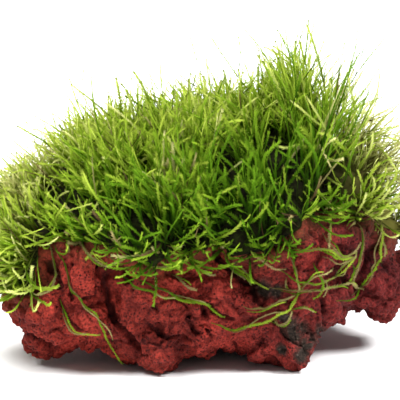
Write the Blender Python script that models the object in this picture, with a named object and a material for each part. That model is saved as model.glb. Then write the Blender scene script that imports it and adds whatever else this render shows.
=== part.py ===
"""Aquarium moss growing on a red volcanic stone.

The stone is one lobed, knobbly rock that rests on the flat places of its underside. A mat of moss covers
its top and both ends, and single long shoots trail out of the mat's lower edge over the bare front.
X runs to the right, Y to the back, Z up. The origin is under the middle of the object, on the surface
that the stone rests on. Lengths are in metres; tables of places are in millimetres and are named so.
"""
import math
import random

import bmesh
import bpy
from mathutils import Matrix, Vector, noise
from mathutils.bvhtree import BVHTree

MM = 0.001

# Driving dimensions
STONE_TRIANGLES = 3150
FUSE_VOXEL = 0.0012           # grid on which the lobes grow together
FUSE_SMOOTHING = 12           # how often the seams between the lobes are smoothed
RELIEF_MEAN = 0.2             # usual size of the noise, so that lumps and hollows balance
RELIEF_HEIGHT = 0.0075        # lumps over the whole rock
RELIEF_SPACING = 0.017
KNOB_HEIGHT = 0.0034          # smaller knobs on the lumps
KNOB_SPACING = 0.0075
KNOB_SHIFT = (7.0, 3.0, 1.0)  # keeps the knobs from lining up with the lumps
CUT_TOLERANCE = 0.00002       # at the flat cut on the ground
MAT_GAP = 0.0005              # clear gap between stone and mat
FOLD_PASSES = 4               # how often the mat's underside is lifted out of the stone's folds
MAT_THICKNESS = 0.0065        # matted part, below the free ends of the shoots
MAT_EDGE_THICKNESS = 0.0018
NEAR_EDGE_SHARE = 0.6         # share of the full thickness one step in from the edge
LEAST_SHARE = 0.6             # share of its thickness that evening out leaves everywhere
MAT_EVENING = 6               # how often the top of the matted part is evened out, and how strongly
EVENING_FACTOR = 0.4
BACK_EDGE_HEIGHT = 0.036      # the mat's lower edge at the back, which rises and falls by the wave
BACK_EDGE_WAVE = 0.016
WAVE_SPACING = 0.030
EDGE_TURN_START = -0.004      # where the front edge begins to run into the back edge, and over how far
EDGE_TURN_LENGTH = 0.022
STEEPEST_UNDERSIDE = -0.35    # upward part of the stone's normal below which no moss holds
LOCK_COUNT = 320
LOCK_LENGTH_SPREAD = 0.25
LOCK_WAIST = 0.62             # width of a lock half way up, as a share of its foot
SHORTER_BEHIND = 0.35         # share of their length that the locks lose towards the back
BACK_REACH = 0.040            # from the rock's middle to its back
OUT_OF_STONE = 0.42           # how far the locks point out of the stone, beside the shares in MOSS_MM
LOCK_STRAY = 0.16             # how far each lock strays from its neighbours' way
LOCK_CURVE = 0.25             # share of that by which its tip bends further
SHOOT_RADIUS = 0.00085        # a trailing shoot with its leaves
SHOOT_TIP_RADIUS = 0.00035
SHOOT_TAPER_FROM = 0.6        # share of its length at which it begins to thin
SHOOT_GAP = 0.0004
SHOOT_STEP = 0.0024           # length of one straight run of a trailing shoot
SHOOT_EASING = 5              # how often a laid route is eased over the bumps
SEED = 11

# Where the drawing plane of the trailing shoots stands: upright to the line of sight, through a point
# above the origin
VIEW_HEIGHT = 0.0549
VIEW_DISTANCE = 0.80
VIEW_DOWN = math.radians(13.0)

# The rock's lobes in mm: centre, half sizes, and turn about Z in degrees
LOBES_MM = (
    ((-14, 7, 35), (48, 37, 31), 4),        # body of the rock
    ((22, 9, 38), (40, 36, 34), 0),
    ((-34, -9, 20), (33, 25, 12), 0),       # lower body
    ((-8, -8, 19), (38, 27, 13), 0),
    ((14, -7, 21), (30, 24, 15), 0),
    ((-48, -13, 21), (18, 22, 13), 0),      # lower left
    ((-60, -6, 27), (8.5, 13, 8), 0),       # left tip
    ((-53, -11, 13.5), (10, 14, 9.5), 0),   # under the left tip
    ((-17, -15, 17), (20, 20, 18.5), 0),    # left of the middle, stands on the ground
    ((-20, -17, 33), (18, 19, 14), 0),
    ((-41, -17, 34), (12, 17, 14), 0),
    ((-54, -10, 36), (12, 16, 13), 0),
    ((3, -15, 25), (17, 18, 17), 0),
    ((26, -11, 18), (17, 20, 19.5), 0),     # right of the middle, stands on the ground
    ((31.5, -16, 10), (9.5, 13, 10), 0),
    ((30, -9, 40), (22, 22, 19), 0),
    ((42, 1, 26), (15, 22, 17), 0),
    ((50, 4, 40), (17.5, 23, 17.5), 0),
    ((56, 12, 26), (16, 21, 15), 0),        # right end, overhangs
    ((64, 8, 22), (11, 14, 13), 0),
    ((-8, 27, 16), (27, 16, 18), 0),        # back foot
    ((-38, 22, 28), (22, 19, 18), 0),
    ((38, 26, 32), (26, 19, 20), 0),
    ((-34, 6, 46), (24, 25, 17), 0),        # left dome
    ((31, 10, 54), (28, 24, 19), 0),        # right dome
)

# Crevices and holes of the bare front in mm: the line as (x, z) points seen from the front, its half
# width and its depth
CREVICES_MM = (
    (((-33, 38), (-31, 30), (-30, 21), (-26, 15), (-20, 8)), 4.0, 3.4),
    (((-34, 38), (-27, 37)), 5.0, 3.6),
    (((-50, 38), (-47, 33)), 4.0, 2.2),
    (((-47, 27), (-44, 20), (-38, 17)), 3.5, 1.4),
    (((-45, 38), (-43, 30)), 3.5, 1.6),
    (((-20, 18), (-10, 16), (-3, 17)), 3.5, 2.0),
    (((-14, 33), (-12, 32)), 4.0, 2.2),
    (((0, 34), (3, 27), (1, 17), (5, 8)), 4.0, 2.2),
    (((5, 42), (8, 38), (15, 33), (18, 27)), 4.0, 3.0),
    (((17, 10), (21, 14)), 4.0, 2.0),
    (((26, 20), (31, 16), (38, 15)), 4.0, 1.8),
    (((28, 47), (32, 40)), 3.5, 1.6),
    (((45, 34), (49, 28)), 4.5, 2.6),
    (((61, 44), (57, 38), (55, 31), (52, 24)), 4.0, 3.2),
)

# The lower edge of the mat along the front in mm: (x, height)
FRONT_EDGE_MM = (
    (-75, 25), (-62, 27), (-56, 35), (-52, 45), (-42, 47), (-30, 44), (-20, 41.5), (-8, 44.5), (6, 44),
    (17, 42.5), (25, 46), (30, 50.5), (38, 56), (50, 56), (58, 52), (66, 45), (78, 37),
)

# The moss along the stone in mm: (x, length of the free ends above the matted part, and the shares of the
# way that they point to the right and up)
MOSS_MM = (
    (-72, 14, -1.10, 0.05), (-62, 15, -0.90, 0.30), (-52, 16, -0.65, 0.60), (-42, 18, -0.42, 0.80),
    (-30, 19, -0.32, 0.85), (-18, 22, -0.28, 0.85), (0, 23, -0.24, 0.85), (15, 23, -0.20, 0.85),
    (22, 23, -0.16, 0.85), (28, 27, -0.10, 0.85), (34, 36, -0.04, 0.85), (40, 39, 0.02, 0.85),
    (45, 33, 0.10, 0.85), (50, 24, 0.20, 0.80), (56, 19, 0.32, 0.70), (64, 15, 0.45, 0.55),
    (74, 12, 0.60, 0.40),
)

# Routes of the trailing shoots in mm on the drawing plane: (right, up) from its middle, root first
ROUTES_MM = (
    ((-50, -16), (-47, -22), (-45, -29), (-41, -36), (-34, -44), (-31, -50), (-26, -57)),
    ((-52.5, -15), (-49.5, -20), (-48.5, -25), (-49.5, -30), (-52.5, -34.5), (-56, -36), (-60, -34)),
    ((-42, -17), (-39, -22.5), (-35, -25.5), (-30.5, -26), (-27, -25)),
    ((-22, -17), (-20, -21), (-16, -23), (-10.5, -23), (-7, -22), (-5, -19.5)),
    ((-24.5, -21.5), (-22, -27), (-16.5, -30.5), (-10.5, -33.5), (-5, -35.5), (0, -36), (4, -36.5), (7, -40),
     (9, -41)),
    ((-3, -19), (0, -24), (5, -27.5)),
    ((9, -18), (11, -21.5), (14, -24), (18, -26.5), (21, -28.5), (24, -31)),
    ((11, -13), (16, -16.5), (20, -19.5), (24, -22), (28, -24), (30, -23)),
    ((32.5, -27), (33, -31.5), (30.5, -35), (27, -37), (22.5, -38.5), (18, -38.5), (14.5, -36.5)),
    ((34, -36.5), (31, -39), (27, -41), (22, -43), (17, -44), (11, -45), (7, -44), (4, -42)),
    ((39, -21.5), (42, -25), (43, -29), (42, -33), (39, -35)),
    ((43, -11), (45, -16), (47.5, -19), (50.5, -19.5), (53, -18), (55, -15)),
    ((52, -21.5), (49.5, -23), (46.5, -26.5), (45, -28)),
    ((55, -30.5), (49, -30.5), (46, -30.5)),
    ((63, -8), (63.5, -13), (62.5, -20), (59.5, -25), (57, -30), (52.5, -34), (47.5, -36)),
)


def material(name, colour, roughness):
    """A plain Principled material."""
    mat = bpy.data.materials.new(name)
    mat.use_nodes = True
    shader = mat.node_tree.nodes["Principled BSDF"]
    shader.inputs["Base Color"].default_value = (*colour, 1.0)
    shader.inputs["Roughness"].default_value = roughness
    shader.inputs["Metallic"].default_value = 0.0
    return mat


def add_object(name, mesh, mat):
    """Put a mesh in the scene as a named object."""
    mesh.materials.clear()
    mesh.materials.append(mat)
    ob = bpy.data.objects.new(name, mesh)
    bpy.context.scene.collection.objects.link(ob)
    return ob


def with_modifiers(mesh, settings):
    """The mesh after the modifiers that settings names, as (type, values) pairs."""
    ob = bpy.data.objects.new("work", mesh)
    bpy.context.scene.collection.objects.link(ob)
    for kind, values in settings:
        modifier = ob.modifiers.new(kind, kind)
        for key, value in values.items():
            setattr(modifier, key, value)
    evaluated = ob.evaluated_get(bpy.context.evaluated_depsgraph_get())
    result = bpy.data.meshes.new_from_object(evaluated)
    bpy.data.objects.remove(ob)
    return result


def along_line(point, line):
    """Distance from a 2-D point to a line of 2-D points."""
    nearest = math.inf
    for a, b in zip(line, line[1:]):
        run = b - a
        share = max(0.0, min(1.0, (point - a).dot(run) / run.length_squared))
        nearest = min(nearest, (a + run * share - point).length)
    return nearest


def carved(co, normal):
    """How deep the front's crevices cut at this place."""
    facing = max(0.0, -normal.y) ** 0.5
    depth = 0.0
    for line, half_width, full_depth in CREVICES_MM:
        points = [Vector(p) * MM for p in line]
        away = along_line(Vector((co.x, co.z)), points) / (half_width * MM)
        depth = max(depth, full_depth * MM * facing * max(0.0, 1.0 - away * away))
    return depth


def build_stone(mat):
    """Lobes grown together, with lumps and crevices, flat where it stands."""
    lobes = bmesh.new()
    for centre, half, turn in LOBES_MM:
        place = (
            Matrix.Translation(Vector(centre) * MM)
            @ Matrix.Rotation(math.radians(turn), 4, "Z")
            @ Matrix.Diagonal(Vector(half) * MM).to_4x4()
        )
        bmesh.ops.create_icosphere(lobes, subdivisions=4, radius=1.0, matrix=place)
    mesh = bpy.data.meshes.new("lobes")
    lobes.to_mesh(mesh)
    lobes.free()
    mesh = with_modifiers(mesh, (
        ("REMESH", {"mode": "VOXEL", "voxel_size": FUSE_VOXEL}),
        ("SMOOTH", {"factor": 0.5, "iterations": FUSE_SMOOTHING}),
    ))
    rock = bmesh.new()
    rock.from_mesh(mesh)
    rock.normal_update()
    moves = []
    for vert in rock.verts:
        lump = abs(noise.noise(vert.co / RELIEF_SPACING)) - RELIEF_MEAN
        knob = abs(noise.noise(vert.co / KNOB_SPACING + Vector(KNOB_SHIFT))) - RELIEF_MEAN
        out = RELIEF_HEIGHT * lump + KNOB_HEIGHT * knob - carved(vert.co, vert.normal)
        moves.append(vert.normal * out)
    for vert, move in zip(rock.verts, moves):
        vert.co += move
    rock.to_mesh(mesh)
    rock.free()
    ratio = STONE_TRIANGLES / (2.0 * len(mesh.polygons))
    mesh = with_modifiers(mesh, (
        ("TRIANGULATE", {}),
        ("DECIMATE", {"ratio": ratio}),
    ))
    rock = bmesh.new()
    rock.from_mesh(mesh)
    bmesh.ops.bisect_plane(
        rock, geom=rock.verts[:] + rock.edges[:] + rock.faces[:], dist=CUT_TOLERANCE,
        plane_co=(0, 0, 0), plane_no=(0, 0, -1), clear_outer=True,
    )
    bmesh.ops.holes_fill(rock, edges=[e for e in rock.edges if e.is_boundary], sides=0)
    bmesh.ops.triangulate(rock, faces=rock.faces[:])
    bmesh.ops.recalc_face_normals(rock, faces=rock.faces[:])
    rock.to_mesh(mesh)
    rock.free()
    return add_object("stone", mesh, mat)


def edge_height(x, y):
    """Height of the mat's lower edge at this place round the stone."""
    points = [(px * MM, pz * MM) for px, pz in FRONT_EDGE_MM]
    front = points[0][1]
    for (x0, z0), (x1, z1) in zip(points, points[1:]):
        if x >= x0:
            front = z0 + (z1 - z0) * min(1.0, (x - x0) / (x1 - x0))
    to_back = max(0.0, min(1.0, (y - EDGE_TURN_START) / EDGE_TURN_LENGTH))
    back = BACK_EDGE_HEIGHT + BACK_EDGE_WAVE * noise.noise(Vector((x, y, 0)) / WAVE_SPACING)
    return front + (back - front) * to_back


def moss_at(x):
    """The length and the sideways and upward shares of MOSS_MM at this place along the stone."""
    for low, high in zip(MOSS_MM, MOSS_MM[1:]):
        if x <= high[0] * MM:
            break
    share = max(0.0, min(1.0, (x / MM - low[0]) / (high[0] - low[0])))
    return [a + (b - a) * share for a, b in zip(low[1:], high[1:])]


def comb(place, normal):
    """Which way the locks point: up, out of the stone, and over its nearer end."""
    _, side, upward = moss_at(place.x)
    return (normal * OUT_OF_STONE + Vector((side, 0, upward))).normalized()


def grown(place):
    """How long the locks are here, before each one's own difference."""
    at_back = max(0.0, min(1.0, place.y / BACK_REACH))
    return moss_at(place.x)[0] * MM * (1.0 - SHORTER_BEHIND * at_back)


def patches(faces):
    """Groups of faces that hang together by their edges, the largest first."""
    left, found = set(faces), []
    for start in faces:
        if start not in left:
            continue
        patch, todo = [], [start]
        left.discard(start)
        while todo:
            face = todo.pop()
            patch.append(face)
            for other in (g for e in face.edges for g in e.link_faces if g in left):
                left.discard(other)
                todo.append(other)
        found.append(patch)
    return sorted(found, key=len, reverse=True)


def leave_one_patch(bm, covered):
    """Delete all but one patch of the covered faces, without holes and without parts meeting in a point."""
    bare = patches([f for f in bm.faces if f not in covered])[0]
    bmesh.ops.delete(bm, geom=bare, context="FACES")
    while True:
        pinched = [v for v in bm.verts if sum(e.is_boundary for e in v.link_edges) > 2]
        if not pinched:
            break
        bmesh.ops.delete(bm, geom=list({f for v in pinched for f in v.link_faces}), context="FACES")
    for small in patches(list(bm.faces))[1:]:
        bmesh.ops.delete(bm, geom=small, context="FACES")


def evened(moves):
    """The vertices' moves after each is mixed with its neighbours' moves."""
    mixed = {}
    for vert in moves:
        around = [moves[e.other_vert(vert)] for e in vert.link_edges if e.other_vert(vert) in moves]
        mean = sum(around, Vector()) / len(around)
        mixed[vert] = (moves[vert] + mean) * 0.5
    return mixed


def lift(surface, point, clear):
    """The move that brings a point out to its clear height above a surface, or none."""
    spot, normal, _, _ = surface.find_nearest(point)
    return normal * max(0.0, clear - (point - spot).dot(normal))


def build_mat(stone_mesh, surface, mat):
    """A thick felt over the stone's covered part, with the free ends of its shoots as pointed locks."""
    felt = bmesh.new()
    felt.from_mesh(stone_mesh)
    covered = {
        f for f in felt.faces
        if f.normal.z > STEEPEST_UNDERSIDE
        and f.calc_center_median().z > edge_height(*f.calc_center_median().xy)
    }
    leave_one_patch(felt, covered)
    under = list(felt.faces)
    low_verts = list(felt.verts)
    own_normals = {v: v.normal.copy() for v in low_verts}
    normals = own_normals
    for _ in range(MAT_EVENING // 2):
        normals = evened(normals)
    rim = {v for v in low_verts if any(e.is_boundary for e in v.link_edges)}
    near_rim = {e.other_vert(v) for v in rim for e in v.link_edges} - rim

    copied = bmesh.ops.extrude_face_region(felt, geom=under, use_keep_orig=True)["geom"]
    top_verts = [g for g in copied if isinstance(g, bmesh.types.BMVert)]
    top_faces = [g for g in copied if isinstance(g, bmesh.types.BMFace)]
    low_at = {tuple(v.co): v for v in low_verts}
    low_of = {v: low_at[tuple(v.co)] for v in top_verts}
    for vert in low_verts:
        vert.co += own_normals[vert] * MAT_GAP
    for _ in range(FOLD_PASSES):
        for face in under:
            rise = lift(surface, face.calc_center_median(), MAT_GAP)
            for vert in face.verts:
                vert.co += rise
        for vert in low_verts:
            vert.co += lift(surface, vert.co, MAT_GAP)
    heights = {}
    for vert, low in low_of.items():
        thick = MAT_EDGE_THICKNESS if low in rim else MAT_THICKNESS
        if low in near_rim:
            thick *= NEAR_EDGE_SHARE
        vert.co += normals[low].normalized() * (thick + MAT_GAP)
        heights[vert] = thick
    free = [v for v in top_verts if low_of[v] not in rim]
    for _ in range(MAT_EVENING):
        bmesh.ops.smooth_vert(
            felt, verts=free, factor=EVENING_FACTOR, use_axis_x=True, use_axis_y=True, use_axis_z=True,
        )
        for vert in free:
            vert.co += lift(surface, vert.co, LEAST_SHARE * heights[vert] + MAT_GAP)
    bmesh.ops.recalc_face_normals(felt, faces=felt.faces[:])
    if felt.calc_volume(signed=True) < 0:
        bmesh.ops.reverse_faces(felt, faces=felt.faces[:])

    choice = random.Random(SEED)
    order = sorted(top_faces, key=lambda f: f.calc_center_median().to_tuple(7))
    choice.shuffle(order)
    taken, chosen = set(), []
    for face in order:
        if len(chosen) < LOCK_COUNT and not taken & set(face.edges):
            chosen.append(face)
            taken |= set(face.edges)
    for face in chosen:
        centre = face.calc_center_median()
        length = grown(centre) * (1.0 + LOCK_LENGTH_SPREAD * choice.uniform(-1.0, 1.0))
        stray = Vector([choice.uniform(-LOCK_STRAY, LOCK_STRAY) for _ in range(3)])
        way = (comb(centre, face.normal) + stray).normalized()
        waist = bmesh.ops.extrude_discrete_faces(felt, faces=[face])["faces"][0]
        for vert in waist.verts:
            vert.co = centre + (vert.co - centre) * LOCK_WAIST + way * length / 2
        tip = bmesh.ops.poke(felt, faces=[waist])["verts"][0]
        tip.co = centre + (way + stray * LOCK_CURVE) * length
    felt.normal_update()
    mesh = bpy.data.meshes.new("moss_mat")
    bmesh.ops.triangulate(felt, faces=[f for f in felt.faces if len(f.verts) > 3])
    felt.to_mesh(mesh)
    felt.free()
    return add_object("moss_mat", mesh, mat)


def smooth_route(route, step):
    """Points about one step apart on a smooth curve through the route's points."""
    points = [Vector(p) * MM for p in route]
    ends = [points[0] * 2 - points[1]] + points + [points[-1] * 2 - points[-2]]
    result = [points[0]]
    for a, b, c, d in zip(ends, ends[1:], ends[2:], ends[3:]):
        runs = max(1, round((c - b).length / step))
        for i in range(1, runs + 1):
            t = i / runs
            result.append(0.5 * (2 * b + (c - a) * t + (2 * a - 5 * b + 4 * c - d) * t * t
                                 + (3 * b - a - 3 * c + d) * t ** 3))
    return result


def laid_on(surface, route, clear):
    """A route of the drawing plane, laid on the stone as seen from the eye."""
    sight = Vector((0, math.cos(VIEW_DOWN), -math.sin(VIEW_DOWN)))
    up = Vector((0, math.sin(VIEW_DOWN), math.cos(VIEW_DOWN)))
    middle = Vector((0, 0, VIEW_HEIGHT))
    eye = middle - sight * VIEW_DISTANCE
    laid = []
    for right, high in smooth_route(route, SHOOT_STEP):
        target = middle + Vector((1, 0, 0)) * right + up * high
        spot, normal, _, _ = surface.ray_cast(eye, (target - eye).normalized())
        if spot is not None:
            laid.append(spot + normal * clear)
    for _ in range(SHOOT_EASING):
        eased = [(a + b * 2 + c) / 4 for a, b, c in zip(laid, laid[1:], laid[2:])]
        laid[1:-1] = eased
        for i in range(len(laid)):
            laid[i] += lift(surface, laid[i], clear)
        for i in range(len(laid) - 1):
            rise = lift(surface, (laid[i] + laid[i + 1]) / 2, clear)
            laid[i] += rise
            laid[i + 1] += rise
    return laid


def out_of_mat(points, felt, clear):
    """The longest stretch of a laid route that is clear of the mat that its root comes out of."""
    stretches = [[]]
    for point in points:
        if felt.find_nearest(point, clear)[0] is None:
            stretches[-1].append(point)
        else:
            stretches.append([])
    return max(stretches, key=len)


def build_shoot(name, points, mat):
    """A stem with its pressed leaves, thinner towards its tip."""
    curve = bpy.data.curves.new(name, "CURVE")
    curve.dimensions = "3D"
    curve.bevel_depth = SHOOT_RADIUS
    curve.bevel_resolution = 0
    curve.use_fill_caps = True
    spline = curve.splines.new("POLY")
    spline.points.add(len(points) - 1)
    for i, (knot, point) in enumerate(zip(spline.points, points)):
        knot.co = (*point, 1.0)
        to_tip = max(0.0, (i / (len(points) - 1) - SHOOT_TAPER_FROM) / (1.0 - SHOOT_TAPER_FROM))
        knot.radius = 1.0 + (SHOOT_TIP_RADIUS / SHOOT_RADIUS - 1.0) * to_tip
    curve.materials.append(mat)
    ob = bpy.data.objects.new(name, curve)
    bpy.context.scene.collection.objects.link(ob)
    return ob


def centre_on_origin(objects):
    """Move everything level so that the origin is under the middle of the object."""
    bpy.context.view_layer.update()
    corners = [ob.matrix_world @ Vector(c) for ob in objects for c in ob.bound_box]
    for axis in (0, 1):
        middle = (min(c[axis] for c in corners) + max(c[axis] for c in corners)) / 2
        for ob in objects:
            ob.location[axis] -= middle


for old in list(bpy.data.objects):
    bpy.data.objects.remove(old, do_unlink=True)
rock_red = material("red_lava_rock", (0.16, 0.028, 0.016), 0.9)
moss_green = material("moss_green", (0.10, 0.21, 0.02), 0.65)
shoot_green = material("young_shoot_green", (0.19, 0.29, 0.05), 0.6)
stone = build_stone(rock_red)
face_of_stone = BVHTree.FromObject(stone, bpy.context.evaluated_depsgraph_get())
moss_mat = build_mat(stone.data, face_of_stone, moss_green)
face_of_mat = BVHTree.FromObject(moss_mat, bpy.context.evaluated_depsgraph_get())
pieces = [stone, moss_mat]
for number, route in enumerate(ROUTES_MM, 1):
    lie = laid_on(face_of_stone, route, SHOOT_RADIUS + SHOOT_GAP)
    lie = out_of_mat(lie, face_of_mat, SHOOT_RADIUS + SHOOT_GAP)
    pieces.append(build_shoot(f"trailing_shoot_{number:02d}", lie, shoot_green))
centre_on_origin(pieces)
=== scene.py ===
import math

import bmesh
import bpy
import numpy as np
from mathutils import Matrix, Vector, noise
from mathutils.bvhtree import BVHTree


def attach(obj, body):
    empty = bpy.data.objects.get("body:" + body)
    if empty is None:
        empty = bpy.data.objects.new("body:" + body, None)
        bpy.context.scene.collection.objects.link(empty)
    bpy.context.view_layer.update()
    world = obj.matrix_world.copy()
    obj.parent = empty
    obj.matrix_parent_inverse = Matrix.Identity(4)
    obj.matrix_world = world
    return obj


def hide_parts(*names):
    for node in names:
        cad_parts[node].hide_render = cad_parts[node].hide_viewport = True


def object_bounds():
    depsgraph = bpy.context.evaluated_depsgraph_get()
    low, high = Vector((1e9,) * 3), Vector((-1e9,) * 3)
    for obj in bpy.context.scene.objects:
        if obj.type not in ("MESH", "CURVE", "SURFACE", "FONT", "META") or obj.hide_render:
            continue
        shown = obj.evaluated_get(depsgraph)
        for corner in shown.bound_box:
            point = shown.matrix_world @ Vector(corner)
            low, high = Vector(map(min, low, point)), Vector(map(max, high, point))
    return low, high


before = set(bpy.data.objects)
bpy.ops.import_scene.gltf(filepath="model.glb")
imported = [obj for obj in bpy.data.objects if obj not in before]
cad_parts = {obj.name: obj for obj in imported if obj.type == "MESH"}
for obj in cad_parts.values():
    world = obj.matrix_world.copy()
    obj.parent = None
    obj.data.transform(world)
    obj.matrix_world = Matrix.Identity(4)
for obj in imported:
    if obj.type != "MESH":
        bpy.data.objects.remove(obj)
cad_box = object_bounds()


# The stone is a lump of red scoria, a lava that froze while it was full of gas: rounded lumps with deep
# creases between them, all over small burst bubbles. It is broken from a bigger rock and not worked. Its
# form is the frame's own solid, remeshed finely enough to hold the lumps and the larger pores.
# Each kind of form has its spacing and its height or depth, in metres.
STONE_GRID = 0.00098
STONE_SMOOTHING = 6
LUMP_SIZE, LUMP_HEIGHT = 0.0120, 0.0018
KNOB_SIZE, KNOB_HEIGHT = 0.0044, 0.0010
GRAIN_SIZE, GRAIN_HEIGHT = 0.0012, 0.0007
BUBBLE_SIZE, BUBBLE_DEPTH = 0.0017, 0.0004
PORE_SIZE, PORE_DEPTH = 0.0027, 0.0013
HOLE_SIZE, HOLE_DEPTH = 0.0075, 0.0024
WANDER_SIZE, CREASE_WANDER, LUMP_WANDER = 0.006, 0.0011, 0.0016
JAG_SIZE, JAG = 0.0014, 0.0009
POROUS_PATCH_SIZE = 0.010
NOISE_SHARPNESS = 2.6          # how narrow the furrows are that noise cuts where it passes through zero
SWELL = 0.0007                 # makes up for what the furrows and pores take away
FOOT_HEIGHT = 0.0012           # below it the relief fades, so that the stone stays flat where it stands
BARE_MARGIN = 0.004            # from the mat to the part that gets the fine pores
FRONT_TURN = -0.25             # faces that are turned further to the front get them too
MOSS_STAIN_REACH = 0.009
DEEPER_CREASES = 1.25
NOISE_SEED = 3                 # noise vectors would otherwise start from the clock
# Where the photo is taken from. The drawing plane's middle lies off the frame's origin by ORIGIN_SHIFT.
ORIGIN_SHIFT = Vector((0.001488, -0.007005, 0.0))
VIEW_AIM = Vector((ORIGIN_SHIFT.x, ORIGIN_SHIFT.y, 0.0549))
VIEW_DISTANCE = 0.80
VIEW_DOWN = math.radians(13.0)
# Creases, rounded bumps and dark stains of the front, in millimetres to the right of and above the middle of
# the drawing plane, which goes through VIEW_AIM across the line of sight. A crease has its line, half its
# width and its depth, a bump its place, radius and height, and a stain its place and radius.
CREASES_MM = (
    (((-34.6, -24.5), (-32.2, -25.5), (-29, -25.2), (-27.6, -26.9)), 2.8, 4.0),
    (((-32.5, -26.9), (-32.5, -31.5), (-32.2, -35.7), (-31.1, -39.5), (-29.4, -42.3),
      (-27.3, -45.1), (-24.5, -47.9), (-22.4, -50), (-21, -52.1)), 1.3, 3.0),
    (((-30.8, -36.8), (-29.7, -40.6)), 1.8, 2.6),
    (((-19.9, -42.7), (-18.5, -44.4), (-15.7, -45.5), (-12.9, -46.9), (-10.5, -47.6),
      (-7, -48.3), (-3.5, -49.3)), 0.9, 1.5),
    (((-20.6, -49.3), (-17.5, -49.7), (-14, -49.7), (-12.6, -48.3)), 0.8, 1.3),
    (((-4.2, -40.6), (-3.1, -43), (-1.4, -46.2), (0, -47.2)), 1.0, 1.7),
    (((1, -38.1), (2.1, -40.6)), 1.4, 2.4),
    (((2.4, -45.8), (3.8, -47.6)), 0.9, 1.4),
    (((4.9, -15.4), (5.9, -19.6), (7.7, -22.4), (9.8, -24.1), (11.9, -26.2), (14, -28),
      (16.8, -29)), 1.5, 2.6),
    (((2.4, -36.4), (4.5, -38.8), (7.7, -41.3), (11.2, -42)), 1.0, 1.6),
    (((17.5, -29), (18.2, -32.2), (19.6, -35.3), (22, -36.8)), 1.2, 2.0),
    (((17.1, -53.2), (19.2, -50.8), (21.3, -49)), 1.3, 2.0),
    (((11.5, -49), (13.3, -52.5)), 0.8, 1.0),
    (((26.2, -42.7), (29.4, -45.5), (31.5, -49), (35, -50.4), (38.8, -49)), 0.9, 1.4),
    (((61.9, -16.1), (59.8, -18.9), (58.4, -21.7), (57.4, -25.2), (56.3, -29), (54.9, -32.5)), 1.4, 2.8),
    (((62.3, -21.7), (64.8, -23.4)), 1.0, 1.6),
    (((29, -9.8), (31.1, -12.6), (31.8, -16.8), (33.2, -20.6)), 0.9, 1.4),
    (((38.8, -10.8), (40.6, -13.3), (39.9, -16.4)), 1.0, 1.2),
    (((46.9, -23.8), (49.3, -26.2), (51.4, -29)), 1.4, 1.8),
    (((-53.2, -22.4), (-50.4, -26.2), (-49.3, -30.1)), 1.2, 2.0),
    (((-48.6, -34.3), (-47.2, -38.8), (-45.1, -43.4), (-42, -45.8)), 0.8, 1.1),
    (((-45.5, -22.4), (-45.8, -28), (-44.1, -34.3)), 0.9, 1.5),
    (((-35.7, -29.4), (-36.8, -33.6), (-41.3, -35)), 0.9, 1.3),
    (((-61.6, -46.9), (-56.7, -48.6), (-51.4, -50)), 0.9, 0.9),
    (((-21.3, -14), (-21.3, -18.2), (-19.2, -22)), 1.0, 1.5),
    (((-13.6, -15.4), (-12.6, -20.3)), 1.0, 1.4),
    (((53.2, -36.8), (56, -38.1), (58.4, -37.8)), 1.0, 1.4),
    (((42, -35.7), (44.1, -39.2), (43.4, -42.7)), 0.9, 1.0),
)
BUMPS_MM = (
    (-41.3, -28, 4.6, 1.4), (-56, -42, 7, 1.2), (-17.5, -17.8, 2.8, 1.4), (-9.8, -19.2, 2.8, 0.9),
    (10.5, -32.5, 6.5, 1.4), (-26.2, -36, 5, 0.9), (-11.9, -35.7, 7, 0.9), (-15.7, -53.9, 8, 0.9),
    (7.7, -48.3, 6.5, 0.8), (35.3, -14.3, 5, 0.9), (45.1, -6.3, 5, 0.9), (54.6, -15, 5, 0.9),
    (63.3, -31.1, 7, 0.8), (-46.2, -36.8, 1.9, 0.8), (-39.2, -41.3, 3, 0.8), (21.7, -25.9, 2.2, 0.9),
    (26.2, -27.6, 2.1, 0.9), (25.2, -33.2, 2.1, 0.9),
)
STAINS_MM = (
    (22, -30.8, 4.8), (26.6, -32.2, 3.2), (33.6, -45.5, 5.6), (38.1, -49.7, 4.8), (30.1, -41.3, 3.0),
    (36, -54, 4.2), (42, -45.5, 3.2), (28.5, -53, 2.4),
)

sight = Vector((0, math.cos(VIEW_DOWN), -math.sin(VIEW_DOWN)))
view_up = Vector((0, math.sin(VIEW_DOWN), math.cos(VIEW_DOWN)))
eye = VIEW_AIM - sight * VIEW_DISTANCE


def on_drawing_plane(points):
    """Where points are seen on the drawing plane, in mm."""
    away = points - np.array(eye)
    seen = np.stack([away[..., 0], away @ np.array(view_up)], axis=-1)
    return seen / (away @ np.array(sight))[..., None] * VIEW_DISTANCE * 1000.0


felt_edge = bmesh.new()
felt_edge.from_mesh(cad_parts["moss_mat"].data)
bmesh.ops.remove_doubles(felt_edge, verts=felt_edge.verts, dist=1e-6)
mat_surface = BVHTree.FromBMesh(felt_edge)
felt_edge.free()


def merged_copy(node, name):
    """A copy of a frame node's mesh whose loose triangles are joined up."""
    bm = bmesh.new()
    bm.from_mesh(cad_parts[node].data)
    bmesh.ops.remove_doubles(bm, verts=bm.verts, dist=1e-6)
    mesh = bpy.data.meshes.new(name)
    bm.to_mesh(mesh)
    bm.free()
    return mesh


def with_modifiers(mesh, name, *settings):
    """The mesh after modifiers given as (type, values) pairs."""
    ob = bpy.data.objects.new(name, mesh)
    bpy.context.scene.collection.objects.link(ob)
    for kind, values in settings:
        modifier = ob.modifiers.new(kind, kind)
        for key, value in values.items():
            setattr(modifier, key, value)
    result = bpy.data.meshes.new_from_object(ob.evaluated_get(bpy.context.evaluated_depsgraph_get()))
    bpy.data.objects.remove(ob)
    return result


def cell(co, size, shift):
    """The distance to the nearest cell point round this place, in cells, and the cell's own number."""
    near, points = noise.voronoi((co + shift) / size)
    return near[0], noise.cell(points[0] * 7.3)


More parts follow.
